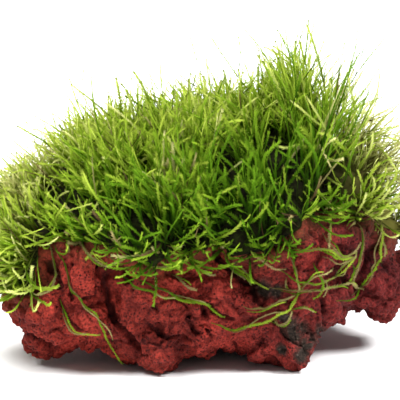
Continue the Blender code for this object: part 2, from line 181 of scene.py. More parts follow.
def furrow(co, size, shift=(0.0, 0.0, 0.0)):
    """One in the middle of the furrows between noise lumps of this size, and zero on the lumps."""
    return max(0.0, 1.0 - abs(noise.noise(co / size + Vector(shift))) * NOISE_SHARPNESS)


def in_creases(seen, facing):
    """How deep the front's creases cut at these places, and how far down their walls each place is."""
    depth, share = np.zeros(len(seen)), np.zeros(len(seen))
    for line, half_width, full_depth in CREASES_MM:
        away = np.full(len(seen), math.inf)
        for a, b in zip(np.array(line), np.array(line)[1:]):
            part = np.clip((seen - a) @ (b - a) / ((b - a) @ (b - a)), 0.0, 1.0)
            away = np.minimum(away, np.linalg.norm(seen - a - part[:, None] * (b - a), axis=1))
        inside = np.clip(1.0 - (away / half_width) ** 2, 0.0, 1.0) * facing
        depth = np.maximum(depth, inside * full_depth * 0.001)
        share = np.maximum(share, inside)
    return depth, share


def spots(seen, facing, table):
    """The largest of the rounded spots in the table at these places: one at a spot's middle."""
    result = np.zeros(len(seen))
    for right, higher, radius, height in table:
        away = np.linalg.norm(seen - np.array([right, higher]), axis=1) / radius
        result = np.maximum(result, height * np.clip(1.0 - away ** 2, 0.0, 1.0) * facing)
    return result


rough_stone = with_modifiers(
    merged_copy("stone", "rough_stone"), "rough",
    ("REMESH", {"mode": "VOXEL", "voxel_size": STONE_GRID}),
    ("SMOOTH", {"factor": 0.5, "iterations": STONE_SMOOTHING}),
)
rock = bmesh.new()
rock.from_mesh(rough_stone)
rock.normal_update()


def to_mat(co):
    """How far this place is from the moss mat."""
    return mat_surface.find_nearest(co)[3]


bare_front = {f.index for f in rock.faces
              if f.normal.y < FRONT_TURN and to_mat(f.calc_center_median()) > BARE_MARGIN}
fine_edges = [e for e in rock.edges if any(f.index in bare_front for f in e.link_faces)]
bmesh.ops.subdivide_edges(rock, edges=fine_edges, cuts=1, use_grid_fill=True)
rock.normal_update()
places = np.array([v.co[:] for v in rock.verts])
facing = np.sqrt(np.clip(-np.array([v.normal[:] for v in rock.verts]) @ np.array(sight), 0.0, 1.0))
noise.seed_set(NOISE_SEED)
wander = np.array([noise.noise_vector(v.co / WANDER_SIZE) for v in rock.verts])
seen = on_drawing_plane(places + wander * CREASE_WANDER)
crease_depth, crease_shade = in_creases(seen, facing)
swell = spots(seen, facing, BUMPS_MM) * 0.001 + SWELL
stained = spots(seen, facing, [(*stain, 1.0) for stain in STAINS_MM])
moves, painted_pit_shade, mossy = [], [], []
for index, vert in enumerate(rock.verts):
    co = vert.co
    warped = co + Vector(wander[index]) * LUMP_WANDER
    jagged = co + noise.noise_vector(co / JAG_SIZE) * JAG
    lump = furrow(warped, LUMP_SIZE)
    fold = furrow(warped, KNOB_SIZE, (3.0, 9.0, 5.0))
    # A cell's own number, from 0 to 1, says whether it has a bubble, pore or hole, and how wide it is
    away, own = cell(jagged, BUBBLE_SIZE, Vector((0.2, 0.8, 0.5)))
    bubble = max(0.0, 1.0 - (away / (0.25 + 0.30 * own)) ** 2) if own > 0.3 else 0.0
    away, own = cell(jagged, PORE_SIZE, Vector((0.7, 0.2, 0.6)))
    closed_share = 0.5 - 1.6 * noise.noise(co / POROUS_PATCH_SIZE + Vector((8.0, 1.0, 2.0)))
    pore = min(1.0, 1.8 * max(0.0, 1.0 - (away / (0.10 + 0.17 * own)) ** 2)) if own > closed_share else 0.0
    away, own = cell(jagged, HOLE_SIZE, Vector((0.9, 0.3, 0.4)))
    hole = min(1.0, 1.5 * max(0.0, 1.0 - (away / (0.09 + 0.11 * own)) ** 2)) if own > 0.6 else 0.0
    out = swell[index] - DEEPER_CREASES * crease_depth[index]
    out -= LUMP_HEIGHT * lump ** 2 + KNOB_HEIGHT * fold ** 2
    out -= BUBBLE_DEPTH * bubble + PORE_DEPTH * pore + HOLE_DEPTH * hole
    out += GRAIN_HEIGHT * noise.noise(co / GRAIN_SIZE)
    moves.append(vert.normal * out)
    # How much painted shade each place gets: the deeper its pit, pore, hole or crease, the darker its colour
    deep_shade = max(hole, 0.85 * pore, crease_shade[index], 0.65 * lump ** 3)
    painted_pit_shade.append(min(1.0, max(deep_shade, 0.6 * bubble, 0.5 * fold ** 5)))
    mossy.append(max(0.0, 1.0 - to_mat(co) / MOSS_STAIN_REACH))
for vert, move in zip(rock.verts, moves):
    if vert.co.z < FOOT_HEIGHT:
        move *= max(0.0, vert.co.z / FOOT_HEIGHT)
        move.z = max(0.0, move.z)
    vert.co += move
    vert.co.z = max(0.0, vert.co.z)
stone_mesh = bpy.data.meshes.new("stone")
rock.to_mesh(stone_mesh)
rock.free()
for name, values in (("pit_shade", painted_pit_shade), ("mossy", mossy), ("stained", stained)):
    stone_mesh.attributes.new(name, "FLOAT", "POINT").data.foreach_set("value", values)
stone_mesh.polygons.foreach_set("use_smooth", [True] * len(stone_mesh.polygons))
lava_stone = bpy.data.objects.new("lava_stone", stone_mesh)
bpy.context.scene.collection.objects.link(lava_stone)

scoria = bpy.data.materials.new("red_scoria")
scoria.use_nodes = True
nodes, links = scoria.node_tree.nodes, scoria.node_tree.links
shader = nodes["Principled BSDF"]
place = nodes.new("ShaderNodeTexCoord").outputs["Object"]


def noise_at(tree, place, scale, detail, rough=0.55, warp=0.0):
    """A noise texture's value on Object coordinates."""
    texture = tree.nodes.new("ShaderNodeTexNoise")
    texture.inputs["Scale"].default_value = scale
    texture.inputs["Detail"].default_value = detail
    texture.inputs["Roughness"].default_value = rough
    texture.inputs["Distortion"].default_value = warp
    tree.links.new(place, texture.inputs["Vector"])
    return texture.outputs["Fac"]


def ramp(tree, value, *stops):
    """A colour ramp with (position, linear colour) stops."""
    node = tree.nodes.new("ShaderNodeValToRGB")
    elements = node.color_ramp.elements
    while len(elements) < len(stops):
        elements.new(0.5)
    for element, (position, colour) in zip(elements, stops):
        element.position = position
        element.color = (*colour, 1.0)
    tree.links.new(value, node.inputs["Fac"])
    return node.outputs["Color"]


def mixed(tree, share, first, second, blend="MIX"):
    """Two colours mixed by a share."""
    node = tree.nodes.new("ShaderNodeMix")
    node.data_type = "RGBA"
    node.blend_type = blend
    node.clamp_factor = True
    for value, name in ((share, "Factor"), (first, "A"), (second, "B")):
        socket = node.inputs[name]
        if isinstance(value, bpy.types.NodeSocket):
            tree.links.new(value, socket)
        else:
            socket.default_value = value if isinstance(value, (int, float)) else (*value, 1.0)
    return node.outputs["Result"]


def maths(tree, kind, first, second, clamp=False):
    """The result of one Math node."""
    node = tree.nodes.new("ShaderNodeMath")
    node.operation = kind
    node.use_clamp = clamp
    for value, socket in ((first, node.inputs[0]), (second, node.inputs[1])):
        if isinstance(value, bpy.types.NodeSocket):
            tree.links.new(value, socket)
        else:
            socket.default_value = value
    return node.outputs[0]


# The reds change in broad patches, and turn to a darker crimson on the right
tree = scoria.node_tree
broad = noise_at(tree, place, 45.0, 4.0, warp=0.8)
reds = ramp(
    tree, broad,
    (0.30, (0.130, 0.012, 0.008)), (0.45, (0.215, 0.020, 0.012)), (0.58, (0.285, 0.027, 0.017)),
    (0.72, (0.360, 0.038, 0.024)),
)
halves = nodes.new("ShaderNodeSeparateXYZ")
links.new(place, halves.inputs["Vector"])
to_right = nodes.new("ShaderNodeMapRange")
to_right.inputs["From Min"].default_value = -0.01
to_right.inputs["From Max"].default_value = 0.06
to_right.inputs["To Max"].default_value = 0.85
links.new(halves.outputs["X"], to_right.inputs["Value"])
crimsons = ramp(
    tree, broad,
    (0.32, (0.062, 0.006, 0.007)), (0.52, (0.125, 0.012, 0.012)), (0.70, (0.200, 0.021, 0.017)),
)
reds = mixed(tree, to_right.outputs["Result"], reds, crimsons)
# Fine grain and the smallest pores are too fine for the mesh, so the colour and the bump give them: the
# pores' dark middles in the colour are painted shade
grain = noise_at(tree, place, 1100.0, 4.0, rough=0.75)
grained = ramp(tree, grain, (0.36, (0.12, 0.10, 0.10)), (0.62, (1.05, 1.05, 1.05)))
reds = mixed(tree, 0.8, reds, grained, "MULTIPLY")
pores = nodes.new("ShaderNodeTexVoronoi")
pores.inputs["Scale"].default_value = 850.0
links.new(place, pores.inputs["Vector"])
# Painted shade: each small pore is dark in its middle
pore = ramp(tree, pores.outputs["Distance"], (0.18, (0.0, 0.0, 0.0)), (0.42, (1.0, 1.0, 1.0)))
patchy = ramp(tree, noise_at(tree, place, 130.0, 2.0), (0.40, (0.3, 0.3, 0.3)), (0.58, (0.95, 0.95, 0.95)))
reds = mixed(tree, patchy, reds, pore, "MULTIPLY")
# Pits, pores, holes, creases and the furrows between lumps get painted shade, near black, the rock is
# brown-green next to the moss, and old stains are nearly black
pit_shade = nodes.new("ShaderNodeAttribute")
pit_shade.attribute_name = "pit_shade"
reds = mixed(tree, maths(tree, "MULTIPLY", pit_shade.outputs["Fac"], 0.9, True), reds, (0.018, 0.002, 0.002))
moss_near = nodes.new("ShaderNodeAttribute")
moss_near.attribute_name = "mossy"
stain = maths(tree, "MULTIPLY", moss_near.outputs["Fac"], noise_at(tree, place, 220.0, 3.0), True)
reds = mixed(tree, maths(tree, "MULTIPLY", stain, 0.9, True), reds, (0.060, 0.034, 0.008))
dirt = nodes.new("ShaderNodeAttribute")
dirt.attribute_name = "stained"
patches = maths(tree, "ADD", noise_at(tree, place, 260.0, 4.0), 0.4)
dirty = maths(tree, "MULTIPLY", dirt.outputs["Fac"], patches, True)
blacks = ramp(
    tree, grain,
    (0.40, (0.010, 0.007, 0.005)), (0.60, (0.028, 0.018, 0.013)), (0.76, (0.120, 0.100, 0.080)),
)
reds = mixed(tree, maths(tree, "MULTIPLY", dirty, 1.5, True), reds, blacks)
links.new(reds, shader.inputs["Base Color"])
shader.inputs["Roughness"].default_value = 0.8
shader.inputs["Specular IOR Level"].default_value = 0.12
bump = nodes.new("ShaderNodeBump")
bump.inputs["Strength"].default_value = 0.7
bump.inputs["Distance"].default_value = 0.0004
height = mixed(tree, 0.5, pore, noise_at(tree, place, 1500.0, 3.0, rough=0.7))
links.new(height, bump.inputs["Height"])
links.new(bump.outputs["Normal"], shader.inputs["Normal"])
stone_mesh.materials.append(scoria)
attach(lava_stone, "root")
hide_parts("stone")


# The matted growth under the free shoots is older moss: brown stems and dead leaves that hold the plant to
# the stone. It has grown on by itself, and here it is the stone's covered part with a thick rough coat.
FELT_THICKNESS = 0.0030
FELT_EDGE_THICKNESS = 0.0004
ON_STONE_GAP = 0.0011          # faces of the stone nearer to the mat than this are covered by it

coat = bmesh.new()
coat.from_mesh(merged_copy("stone", "felt"))
coat.normal_update()
bare = [f for f in coat.faces if to_mat(f.calc_center_median()) > ON_STONE_GAP]
bmesh.ops.delete(coat, geom=bare, context="FACES")
bmesh.ops.subdivide_edges(coat, edges=coat.edges[:], cuts=3, smooth=0.6, use_grid_fill=True)
coat.normal_update()
roots_mesh = bpy.data.meshes.new("roots")
coat.to_mesh(roots_mesh)
edge_verts = {v for e in coat.edges if e.is_boundary for v in e.verts}
for vert in coat.verts:
    lumpy = 0.6 + 0.5 * abs(noise.noise(vert.co / 0.005)) + 0.5 * abs(noise.noise(vert.co / 0.0018))
    vert.co += vert.normal * (FELT_EDGE_THICKNESS if vert in edge_verts else FELT_THICKNESS * lumpy)
felt_mesh = bpy.data.meshes.new("felt")
coat.to_mesh(felt_mesh)
coat.free()
felt_mesh.polygons.foreach_set("use_smooth", [True] * len(felt_mesh.polygons))
matted_growth = bpy.data.objects.new("matted_growth", felt_mesh)
bpy.context.scene.collection.objects.link(matted_growth)
old_moss = bpy.data.materials.new("old_brown_moss")
old_moss.use_nodes = True
tree = old_moss.node_tree
place = tree.nodes.new("ShaderNodeTexCoord").outputs["Object"]
# The old moss's own brown, darkened to near black: painted shade for the deep gaps between the shoots
browns_with_painted_light = ramp(
    tree, noise_at(tree, place, 420.0, 4.0, rough=0.65, warp=0.8),
    (0.32, (0.002, 0.002, 0.001)), (0.50, (0.007, 0.007, 0.002)), (0.68, (0.012, 0.019, 0.002)),
)
# At the right end the felt is painted pale: painted light, for the bright backdrop that shows through the
# sparse shoots there
apart = tree.nodes.new("ShaderNodeSeparateXYZ")
tree.links.new(place, apart.inputs["Vector"])
backdrop_glow_end = tree.nodes.new("ShaderNodeMapRange")
backdrop_glow_end.inputs["From Min"].default_value = 0.046
backdrop_glow_end.inputs["From Max"].default_value = 0.066
backdrop_glow_end.inputs["To Max"].default_value = 0.85
tree.links.new(apart.outputs["X"], backdrop_glow_end.inputs["Value"])
browns_with_painted_light = mixed(tree, backdrop_glow_end.outputs["Result"], browns_with_painted_light, (0.085, 0.080, 0.016))
shader = tree.nodes["Principled BSDF"]
tree.links.new(browns_with_painted_light, shader.inputs["Base Color"])
shader.inputs["Roughness"].default_value = 0.9
shader.inputs["Specular IOR Level"].default_value = 0.05
felt_mesh.materials.append(old_moss)
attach(matted_growth, "root")
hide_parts("moss_mat")


# The free shoots are the living moss: thin stems with two rows of tiny pointed leaves, which stand up out of
# the mat towards the light. They grow through each other, brown and bare at the foot, where painted shade
# darkens them further, and yellow-green at the tip. Each is a thin tapered stem, and each of its leaves is
# one flat triangle.
SHOOTS_BEGUN = 11600
SHOOT_PIECES = 6
SIDE_SHOOT_SHARE = 0.30
LEAF_REACH = 0.00078           # from the stem's middle to a leaf's tip
SIDE_LEAF_SHARE = 0.85
SINGLE_LEAF_REACH = 0.0009
BARE_REACH = 0.00022
STEM_RADIUS = 0.00017
FOOT_LENGTH = 0.006            # the part of a shoot inside the mat
OUT_OF_STONE = 0.34
PROUD = 0.006                  # how far stems may stand out of the frame's box, and stay above the floor
BACK_REACH, SHORTER_BEHIND = 0.04, 0.35
LENGTH_MEAN, LENGTH_SPREAD, LENGTH_LIMITS = 0.76, 0.16, (0.35, 1.05)
OUTSTANDING_SHARE = 0.13
PALE_SHARE, BROWN_SHARE = 0.025, 0.015
PALE_SHADES, BROWN_SHADES = (0.80, 0.88), (0.94, 0.98)
GAP_SIZE, CLUMP_SIZE = 0.013, 0.009
CLEARED = 0.78                 # share of the shoots that is left out of a hollow
# Along the stone, from its left end: the place in mm, and there the shoots' length in mm, their lean to the
# right, their rise, how close they stand, the reach of their leaves, their bending, and how much lighter
# they are than elsewhere
LENGTH, LEAN, RISE, CROWD, LEAF, BENDING, TONE = range(1, 8)
MOSS_ALONG_MM = np.array((
    (-72, 18, -1.10, 0.05, 3.2, 0.90, 0.9, 0.64), (-62, 17, -0.95, 0.18, 2.6, 0.90, 0.9, 0.62),
    (-52, 14, -0.60, 0.55, 1.3, 0.90, 0.8, 0.50), (-42, 17, -0.42, 0.80, 1.1, 1.00, 0.8, 0.28),
    (-30, 19, -0.36, 0.85, 1.0, 1.00, 0.8, 0.10), (-18, 22, -0.32, 0.85, 1.0, 1.05, 0.8, 0.08),
    (0, 23, -0.28, 0.85, 1.0, 1.10, 0.8, 0.05), (15, 23, -0.22, 0.85, 0.8, 1.10, 0.9, -0.06),
    (22, 23, -0.18, 0.85, 0.8, 1.10, 0.9, -0.12), (28, 26, -0.12, 0.85, 0.9, 1.05, 0.8, -0.12),
    (34, 33, -0.08, 0.85, 1.2, 1.00, 0.7, -0.14), (40, 34, -0.04, 0.85, 1.1, 0.85, 0.7, -0.08),
    (45, 29, 0.02, 0.85, 0.52, 0.72, 0.9, 0.10), (50, 25, 0.12, 0.80, 0.34, 0.64, 1.2, 0.36),
    (56, 22, 0.28, 0.60, 0.28, 0.56, 1.8, 0.58), (64, 19, 0.45, 0.35, 0.26, 0.52, 2.2, 0.66),
    (74, 17, 0.55, 0.25, 0.26, 0.52, 2.2, 0.66),
))
# Dark hollows between the front's shoots: place on the drawing plane and radius
HOLLOWS_MM = (
    (-41, -1.8, 5.0), (-20, -3.5, 5.0), (-19, 14, 3.0), (25, 25.5, 5.0), (10.5, 15, 5.5), (29, 13, 5.0),
    (35, 8.8, 4.0), (11.5, 1, 5.5), (46.5, 4.5, 4.0), (40, 35, 2.5),
)
draw = np.random.default_rng(7)


def unit(v):
    """Rows of vectors at length one."""
    return v / np.maximum(np.linalg.norm(v, axis=-1, keepdims=True), 1e-12)


def leafy_shoots(lines, reach, shade, spin, leaves, rings=4, bare_share=0.0):
    """Vertices, faces and map places of shoots whose stems are the rows of points in lines.

    On the map, U runs along the shoot from foot to tip and V is the shoot's own shade, so the material
    colours each leaf by these two alone.
    """
    count, knots = lines.shape[0], lines.shape[1]
    tangents = unit(np.gradient(lines, axis=1))
    helper = unit(np.stack([np.cos(spin), np.sin(spin), 0.15 * np.ones(count)], axis=1))[:, None, :]
    sideways = unit(np.cross(tangents, helper))
    upward = np.cross(sideways, tangents)

    def at(t):
        """The stems' points, and their sideways and upward vectors, at these shares of the way."""
        t = np.clip(t, 0.0, 1.0) * (knots - 1)
        low = np.minimum(t.astype(int), knots - 2)
        part = (t - low)[None, :, None]
        close = np.round(t).astype(int)
        return lines[:, low] * (1 - part) + lines[:, low + 1] * part, sideways[:, close], upward[:, close]

    def on_map(t):
        """The map place of these shares of the way."""
        return (bare_share + (1.0 - bare_share) * t).clip(0.004, 0.996)

    step = 0.94 / leaves
    start = 0.05 + step * np.arange(leaves)
    width = np.interp(start, [0.0, 0.15, 0.35, 0.8, 0.94, 1.0], [0.35, 0.8, 1.0, 0.95, 0.7, 0.45])
    blocks, places = [], []
    for row, turn in enumerate((0.0, math.pi)):
        begin = start + step * row / 2
        base, s, u = at(begin)
        end, beyond = at(begin + 1.25 * step)[0], at(begin + 1.7 * step)[0]
        angle = turn + draw.normal(0.0, 0.30, (count, leaves, 1))
        out = s * np.cos(angle) + u * np.sin(angle)
        round_stem = u * np.cos(angle) - s * np.sin(angle)
        far = reach[:, None, None] * width[None, :, None]
        half = far * 0.10
        tip = beyond + out * far * draw.uniform(0.8, 1.25, (count, leaves, 1))
        corners = [base - round_stem * half, end + round_stem * half, tip]
        blocks.append(np.stack(corners, axis=2).reshape(-1, 3))
        along = on_map(np.stack([begin, begin + step, begin + 1.7 * step], axis=-1))
        own = shade[:, None] + draw.uniform(-0.012, 0.012, (count, leaves))
        across = own[:, :, None] + np.array([-0.002, 0.002, 0.0])
        places.append(np.stack([np.broadcast_to(along, across.shape), across], axis=-1).reshape(-1, 2))
    leaf_verts = np.concatenate(blocks)
    leaf_faces = np.arange(len(leaf_verts)).reshape(-1, 3)
    leaf_places = np.concatenate(places)

    t = np.linspace(0.0, 1.0, rings)
    centre, s, u = at(t)
    radius = (STEM_RADIUS * np.interp(t, [0.0, 0.7, 1.0], [1.0, 0.8, 0.15]))[None, :, None, None]
    turns = np.radians([0.0, 120.0, 240.0])[None, None, :, None]
    ring = centre[:, :, None] + radius * (s[:, :, None] * np.cos(turns) + u[:, :, None] * np.sin(turns))
    first = (np.arange(count) * rings * 3)[:, None, None] + (np.arange(rings - 1) * 3)[None, :, None]
    a, b = first + np.arange(3), first + np.array([1, 2, 0])
    quads = np.stack([a, b, b + 3, a + 3], axis=-1).reshape(-1, 4)
    along = np.broadcast_to(on_map(t)[None, :, None], (count, rings, 3))
    across = shade[:, None, None] + np.broadcast_to([-0.002, 0.0, 0.002], (count, rings, 3))
    ring_places = np.stack([along, across], axis=-1).reshape(-1, 2)
    return leaf_verts, leaf_faces, leaf_places, ring.reshape(-1, 3), quads, ring_places


def shoots_object(name, parts, materials):
    """One mesh object out of several sets of leafy shoots."""
    verts, loops, sizes, places = [], [], [], []
    total = 0
    for leaf_verts, leaf_faces, leaf_places, stem_verts, quads, ring_place in parts:
        verts += [leaf_verts, stem_verts]
        loops += [(leaf_faces + total).ravel(), (quads + total + len(leaf_verts)).ravel()]
        sizes += [np.full(len(leaf_faces), 3), np.full(len(quads), 4)]
        places += [leaf_places[leaf_faces.ravel()], ring_place[quads.ravel()]]
        total += len(leaf_verts) + len(stem_verts)
    verts, loops = np.concatenate(verts), np.concatenate(loops).astype(np.int32)
    sizes, places = np.concatenate(sizes).astype(np.int32), np.concatenate(places)
    mesh = bpy.data.meshes.new(name)
    mesh.vertices.add(len(verts))
    mesh.vertices.foreach_set("co", verts.astype(np.float32).ravel())
    mesh.loops.add(len(loops))
    mesh.loops.foreach_set("vertex_index", loops)
    mesh.polygons.add(len(sizes))
    mesh.polygons.foreach_set("loop_start", np.concatenate([[0], np.cumsum(sizes)[:-1]]).astype(np.int32))
    mesh.update(calc_edges=True)
    mesh.uv_layers.new(name="OFBake").data.foreach_set("uv", places.astype(np.float32).ravel())
    mesh.validate()
    for material in materials:
        mesh.materials.append(material)
    ob = bpy.data.objects.new(name, mesh)
    bpy.context.scene.collection.objects.link(ob)
    return ob


def along_stone(place, column):
    """One column of the table at these places along the stone."""
    from_middle = (place[:, 0] - ORIGIN_SHIFT.x) * 1000.0
    return np.interp(from_middle, MOSS_ALONG_MM[:, 0], MOSS_ALONG_MM[:, column])


def comb(place, normal):
    """Which way shoots point at these places: up, out of the stone, and over its nearer end."""
    lean = np.stack([along_stone(place, LEAN), np.zeros(len(place)), along_stone(place, RISE)], axis=1)
    return unit(normal * OUT_OF_STONE + lean)


def grown(place):
    """How long the shoots are at these places."""
    behind = np.clip((place[:, 1] - ORIGIN_SHIFT.y) / BACK_REACH, 0.0, 1.0)
    return along_stone(place, LENGTH) * 0.001 * (1.0 - SHORTER_BEHIND * behind) + FOOT_LENGTH


def held_in(lines):
    """Stems shortened where they would stand further than PROUD out of the frame's box."""
    foot = lines[:, 0]
    low, high = np.array(cad_box[0]) - PROUD * np.array([1, 1, -1]), np.array(cad_box[1]) + PROUD
    above = (high - foot) / np.maximum(lines.max(1) - foot, 1e-9)
    below = (foot - low) / np.maximum(foot - lines.min(1), 1e-9)
    share = np.clip(np.minimum(above, below).min(1), 0.05, 1.0)
    return foot[:, None] + (lines - foot[:, None]) * share[:, None, None]


def grown_stem(foot, ways, long, knots=9):
    """Points of stems that start at foot and turn through the directions in ways."""
    t = np.linspace(0.0, 1.0, knots - 1)[None, :, None]
    first, second, last = (way[:, None] for way in ways)
    turn = unit(first * (1 - t) ** 2 + second * 2 * t * (1 - t) + last * t ** 2)
    steps = turn * (long / (knots - 1))[:, None, None]
    return np.concatenate([foot[:, None], foot[:, None] + np.cumsum(steps, axis=1)], axis=1)


# Shoots are rooted on the covered part of the stone, close together in some places and sparse in others
roots_mesh.calc_loop_triangles()
corner_places = np.array([v.co[:] for v in roots_mesh.vertices])
corner_normals = np.array([v.normal[:] for v in roots_mesh.vertices])
triangles = np.array([t.vertices[:] for t in roots_mesh.loop_triangles])
areas = np.array([t.area for t in roots_mesh.loop_triangles])
middles_of = corner_places[triangles].mean(1)
facing_of = -unit(corner_normals[triangles].mean(1))[:, 1]
gaps = np.array([noise.noise(Vector(p) / GAP_SIZE + Vector((4.0, 1.0, 7.0))) for p in middles_of])
crowd = areas * along_stone(middles_of, CROWD) * np.clip(0.75 + 2.2 * gaps, 0.12, 1.3)
crowd *= 1.0 - 0.45 * np.clip(facing_of, 0.0, 1.0)
chosen = triangles[draw.choice(len(triangles), SHOOTS_BEGUN, p=crowd / crowd.sum())]
weights = draw.dirichlet((1.0, 1.0, 1.0), SHOOTS_BEGUN)[:, :, None]
root = (corner_places[chosen] * weights).sum(1)
normal = unit((corner_normals[chosen] * weights).sum(1))

# They point one way within a clump, bend on their way up, and some are hooked or outstandingly long
bend = along_stone(root, BENDING)[:, None]
facing = np.clip(-normal[:, 1], 0.0, 1.0)
clump = np.array([noise.noise_vector(Vector(p) / CLUMP_SIZE) for p in root])
first_way = unit(comb(root, normal) + draw.normal(0.0, 0.25, (SHOOTS_BEGUN, 3)) + clump * 0.80)
middle_way = unit(first_way + draw.normal(0.0, 0.34, (SHOOTS_BEGUN, 3)) * bend)
hooked = np.where(draw.random((SHOOTS_BEGUN, 1)) < 0.15, 2.0, 1.0)
curl = draw.normal(0.0, 0.46, (SHOOTS_BEGUN, 3)) * bend * hooked
last_way = unit(middle_way + curl + np.array([0, 0, 0.12]))
spread = np.clip(draw.normal(LENGTH_MEAN, LENGTH_SPREAD, SHOOTS_BEGUN), *LENGTH_LIMITS)
length = grown(root) * spread * (1.0 + 0.15 * facing)
outstanding = draw.random(SHOOTS_BEGUN) < OUTSTANDING_SHARE
length *= np.where(outstanding, draw.uniform(1.15, 1.50, SHOOTS_BEGUN), 1.0)
lines = held_in(grown_stem(root, (first_way, middle_way, last_way), length))

kept = np.ones(SHOOTS_BEGUN, bool)
seen = on_drawing_plane(lines)
in_front = root[:, 1] < 0.012 + ORIGIN_SHIFT.y
for right, higher, radius in HOLLOWS_MM:
    inside = (np.linalg.norm(seen - np.array([right, higher]), axis=2) < radius).any(1)
    kept &= ~(inside & in_front & (draw.random(SHOOTS_BEGUN) < CLEARED))
root, normal, lines, length = root[kept], normal[kept], lines[kept], length[kept]
facing, outstanding = facing[kept], outstanding[kept]
shoot_count = len(root)

# The higher a shoot is rooted, the yellower, lighter and thinner it is: partly the young moss's own colour
# and partly painted light from above. Shoots rooted facing the front are darker, which is painted shade. A
# few are pale straws or old brown stems
high = np.clip((root[:, 2] - 0.044) / 0.028, 0.0, 1.0)
shade = 0.03 + 0.49 * high - 0.16 * facing + along_stone(root, TONE) + draw.normal(0.0, 0.13, shoot_count)
shade = np.clip(shade, 0.01, 0.78)
kind = draw.random(shoot_count)
brown_stem = kind > 1.0 - BROWN_SHARE
shade = np.where(kind < PALE_SHARE, draw.uniform(*PALE_SHADES, shoot_count), shade)
shade = np.where(brown_stem, draw.uniform(*BROWN_SHADES, shoot_count), shade)
spin = np.arctan2(normal[:, 1] - 0.25, normal[:, 0]) + draw.normal(0.0, 0.7, shoot_count)
slim = draw.random(shoot_count)
thin = slim < 0.22 + 0.25 * high
narrow, usual = draw.uniform(0.45, 0.70, shoot_count), draw.uniform(0.80, 1.05, shoot_count)
spread = np.where(thin | outstanding, narrow, usual)
spread = np.where((slim > 0.8) & ~outstanding, draw.uniform(1.00, 1.18, shoot_count), spread)
reach = LEAF_REACH * spread * along_stone(root, LEAF) * (0.92 + 0.15 * facing)
reach = np.where(brown_stem, BARE_REACH, reach)

# Side shoots fork off a part of them
parents = draw.choice(shoot_count, int(shoot_count * SIDE_SHOOT_SHARE), replace=False)
fork = draw.integers(2, 7, len(parents))
fork_place = lines[parents, fork]
fork_way = unit(lines[parents, fork + 1] - fork_place)
aside = unit(np.cross(fork_way, draw.normal(0.0, 1.0, (len(parents), 3))))
side_way = unit(fork_way + aside * draw.uniform(0.5, 1.2, (len(parents), 1)))
side_length = length[parents] * draw.uniform(0.22, 0.45, len(parents))
side_ways = (side_way, side_way, unit(side_way + fork_way * 0.8))
side_lines = held_in(grown_stem(fork_place, side_ways, side_length))

# Shorter shoots hang from the mat's lower edge at the front and both ends, and turn up towards their tips
FRINGE_COUNT = 520
FRINGE_LENGTHS = (0.007, 0.021)
LEFT_END_LEAN = -0.6           # where shoots lean over more than this, the fringe is longer and closer
edge_points, edge_normals = [], []
rim = bmesh.new()
rim.from_mesh(roots_mesh)
for edge in rim.edges:
    if edge.is_boundary:
        edge_points.append([v.co[:] for v in edge.verts])
        edge_normals.append(edge.link_faces[0].normal[:])
rim.free()
edge_points, edge_normals = np.array(edge_points), np.array(edge_normals)
to_front = np.clip(0.35 - edge_normals[:, 1], 0.05, 1.0)
edge_share = np.linalg.norm(edge_points[:, 0] - edge_points[:, 1], axis=1) * to_front
edge_share *= np.where(along_stone(edge_points[:, 0], LEAN) < LEFT_END_LEAN, 2.0, 1.0)
picked = draw.choice(len(edge_points), FRINGE_COUNT, p=edge_share / edge_share.sum())
part = draw.random((FRINGE_COUNT, 1))
hem = edge_points[picked, 0] * part + edge_points[picked, 1] * (1 - part)
hem_normal = edge_normals[picked]
hem += hem_normal * 0.0006 + draw.uniform(0.0, 1.0, (FRINGE_COUNT, 1)) ** 1.5 * np.array([0, 0, 0.007])
leaning = along_stone(hem, LEAN)[:, None] * np.array([[1.0, 0, 0]])
hang = hem_normal * draw.uniform(0.35, 1.0, (FRINGE_COUNT, 1)) + leaning * 0.8
hang += draw.normal(0.0, 1.0, (FRINGE_COUNT, 3)) * np.array([0.55, 0.15, 0.25]) - np.array([0, 0, 0.35])
hang = unit(hang)
swing = unit(hang + draw.normal(0.0, 0.5, (FRINGE_COUNT, 3)) + leaning * 0.3)
rise = unit(swing + draw.normal(0.0, 0.5, (FRINGE_COUNT, 3)) + np.array([0, 0, 1.0]))
hem_length = draw.uniform(*FRINGE_LENGTHS, FRINGE_COUNT)
hem_length *= np.where(along_stone(hem, LEAN) < LEFT_END_LEAN, 1.35, 1.0)
hem_lines = held_in(grown_stem(hem, (hang, swing, rise), hem_length))
hem_shade = np.clip(draw.normal(0.12, 0.14, FRINGE_COUNT) + 0.7 * along_stone(hem, TONE), 0.01, 0.66)
hem_kind = draw.random(FRINGE_COUNT)
hem_shade = np.where(hem_kind < 0.07, draw.uniform(0.84, 0.98, FRINGE_COUNT), hem_shade)
hem_reach = LEAF_REACH * draw.uniform(0.45, 1.05, FRINGE_COUNT)

fresh_moss = bpy.data.materials.new("fresh_moss")
fresh_moss.use_nodes = True
tree = fresh_moss.node_tree
